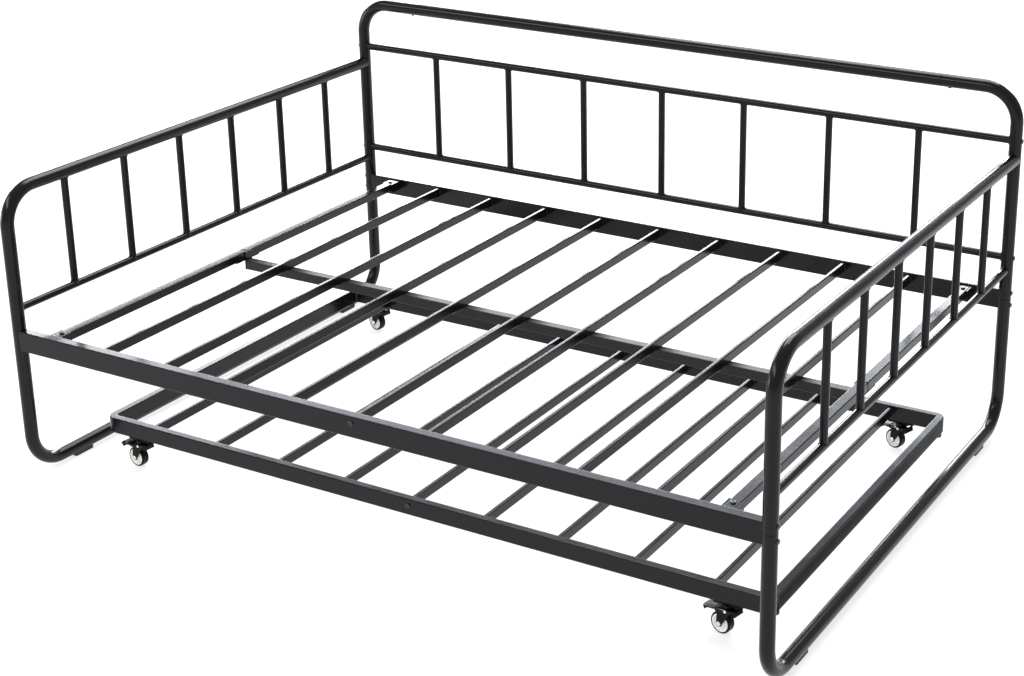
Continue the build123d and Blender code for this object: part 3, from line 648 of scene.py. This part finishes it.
# %% Bright rivets
dome_steps = 9
dome_sides = 20
pivot_head_face = 0.01705
shoe_side = 0.0096
shoe_rivets_along = (-0.0405, -0.0315)
both_ways = (-1.0, 1.0)


def dome(radius, tall):
    """Closed round head: at s from 0 to 1 and v around, the radius falls as the cosine of a quarter turn and
    the height grows as its sine, over a flat base whose middle is the first row."""
    s = np.concatenate([[0.0], np.linspace(0.0, 1.0, dome_steps)])[:, None]
    v = full_turn(dome_sides)[None, :]
    reach = radius * np.cos(s * math.pi / 2)
    reach[0] = 0.0
    return reach * np.cos(v), reach * np.sin(v), tall * np.sin(s * math.pi / 2) + 0.0 * v


pivot_x, pivot_z, pivot_y = dome(radius=0.0036, tall=0.0016)
rivet_x, rivet_z, rivet_y = dome(radius=0.0026, tall=0.0014)
for spot in spots:
    heads = [from_pivot(spot, 0.0, pivot_x, way * (pivot_y + pivot_head_face), pivot_z) for way in both_ways]
    piece_from_grids("pivot_rivets_" + spot, np.stack(heads), False, "caster_" + spot, "bright_zinc")
    heads = [
        from_pivot(spot, pedal_lean, rivet_x + along, way * (rivet_y + shoe_side), rivet_z + shoe_up)
        for way in both_ways
        for along in shoe_rivets_along
    ]
    piece_from_grids("shoe_rivets_" + spot, np.stack(heads), False, "pedal_" + spot, "bright_zinc")

# %% [markdown]
# ## Bowls in the wheel hubs
# Between its boss and its rim the pale hub is hollowed on both faces. A flat web would show one even tone,
# but a bowl goes from bright to dark across its curve and holds a small glint. Its section is a parabola
# that is turned about the axle, with a flat back that rests on the packed web.

# %% Hollow faces of the hubs
hub_boss_radius = 0.0070
hub_rim_radius = 0.0175
web_face = 0.0040
bowl_floor = 0.0042
bowl_deep = 0.0048
bowl_steps = 15
bowl_sides = 48


def hub_bowl(centre, axle, way):
    """Closed ring: at v from 0 to 1 the radius goes from boss to rim and the face stands off the wheel's
    middle by floor + deep (2 v - 1)^2, and the back lies on the web; all of it turns about the axle."""
    v = np.linspace(0.0, 1.0, bowl_steps)
    radius = hub_boss_radius + (hub_rim_radius - hub_boss_radius) * np.concatenate([v, v[::-1]])
    face = bowl_floor + bowl_deep * (2.0 * v - 1.0) ** 2
    across = np.concatenate([face, np.full_like(v, web_face)])
    angle = full_turn(bowl_sides)[:, None]
    c = np.asarray(axle, dtype=float)
    spoke = np.cos(angle) * level_way(c) + np.sin(angle) * upright
    return np.asarray(centre) + radius[:, None, None] * spoke[None] + way * across[:, None, None] * c


for spot in spots:
    spin = joints["wheel_spin_" + spot]
    bowls = [hub_bowl(spin["pos_m"], spin["axis"], way) for way in both_ways]
    piece_from_grids("hub_bowls_" + spot, np.stack(bowls), True, "wheel_" + spot, "hub_cream")

# %% [markdown]
# ## The white floor
# The bed stands on a white floor that runs out of the picture. A floor lit by lamps alone would go grey
# towards the back and darken under the bed, so this one also glows a little. It stays white everywhere, and
# the shadows on it stay faint.

# %% Floor
floor_half = 30.0
floor_glow = 0.72
pure_white = (1.0, 1.0, 1.0)
floor_corners = [
    (-floor_half, -floor_half, 0),
    (floor_half, -floor_half, 0),
    (floor_half, floor_half, 0),
    (-floor_half, floor_half, 0),
]
floor_mesh = bpy.data.meshes.new("studio_floor")
floor_mesh.from_pydata(floor_corners, [], [(0, 1, 2, 3)])
floor = bpy.data.objects.new("studio_floor", floor_mesh)
scene.collection.objects.link(floor)
floor_paint, floor_shader, floor_place = finish_named(
    "studio_white", Roughness=0.9, Emission_Color=colour(*pure_white), Emission_Strength=floor_glow
)
floor_tone = floor_place.noise(scale=0.6).mix(colour(0.29, 0.29, 0.30), colour(0.32, 0.32, 0.32))
feed(floor_shader, "Base Color", floor_tone)
floor_mesh.materials.append(floor_paint)
print("floor", 2 * floor_half, "m wide")

# %% [markdown]
# ## Lamps
# A wide lamp overhead gives the soft shadows. A long panel far behind on the left, lifted off the floor, is
# what whitens the tops of the slats there: a satin surface mirrors far more when it is seen at a low angle.
# The panel above it is dimmer and bluer, so the tops darken towards the camera. A strip in front draws the
# thin stripe along each round tube, and one on the left the short light on the bends. Lamps that are large
# and far keep every edge soft.

# %% Softboxes
def softbox(name, place, target, width, height, radiance, tint):
    """A rectangular lamp of a given radiance and tint, which faces a point. The camera doesn't see it."""
    lamp = bpy.data.lights.new(name, "AREA")
    lamp.shape = "RECTANGLE"
    lamp.size = width
    lamp.size_y = height
    lamp.energy = radiance * math.pi * width * height
    lamp.color = tint
    stand = bpy.data.objects.new(name, lamp)
    aim = Vector(target) - Vector(place)
    stand.matrix_world = Matrix.Translation(place) @ aim.to_track_quat("-Z", "Y").to_matrix().to_4x4()
    stand.visible_camera = False
    scene.collection.objects.link(stand)
    print(name, "watts", round(lamp.energy))


softbox(
    "overhead_box", place=(-0.5, 2.6, 5.0), target=(0.0, 0.6, 0.0),
    width=4.0, height=4.0, radiance=7.5, tint=pure_white,
)
softbox(
    "rear_panel_low", place=(-11.0, 17.0, 5.9), target=(0.0, 0.0, 5.9),
    width=36.0, height=4.6, radiance=15.5, tint=(0.94, 0.97, 1.0),
)
softbox(
    "rear_panel_high", place=(-11.0, 17.0, 10.2), target=(0.0, 0.0, 10.2),
    width=36.0, height=4.0, radiance=2.0, tint=(0.76, 0.85, 1.0),
)
softbox(
    "front_strip", place=(-2.6, -3.8, 3.9), target=(0.0, 0.4, 0.7),
    width=6.0, height=0.9, radiance=7.0, tint=(1.0, 0.97, 0.96),
)
softbox(
    "left_strip", place=(-6.5, -2.6, 0.7), target=(-0.6, -0.4, 0.7),
    width=1.6, height=1.2, radiance=9.0, tint=pure_white,
)

# %% [markdown]
# ## The air of the studio
# White walls that the picture doesn't show send light from every side. An even white world stands in for
# them, and the Standard view keeps its white as white on the screen.

# %% World and view
air_glow = 0.55
world = bpy.data.worlds.new("studio_air")
world.use_nodes = True
air = world.node_tree.nodes["Background"]
air.inputs["Color"].default_value = colour(*pure_white)
air.inputs["Strength"].default_value = air_glow
scene.world = world
scene.view_settings.view_transform = "Standard"
print("air", air_glow, "view", scene.view_settings.view_transform)

# %% [markdown]
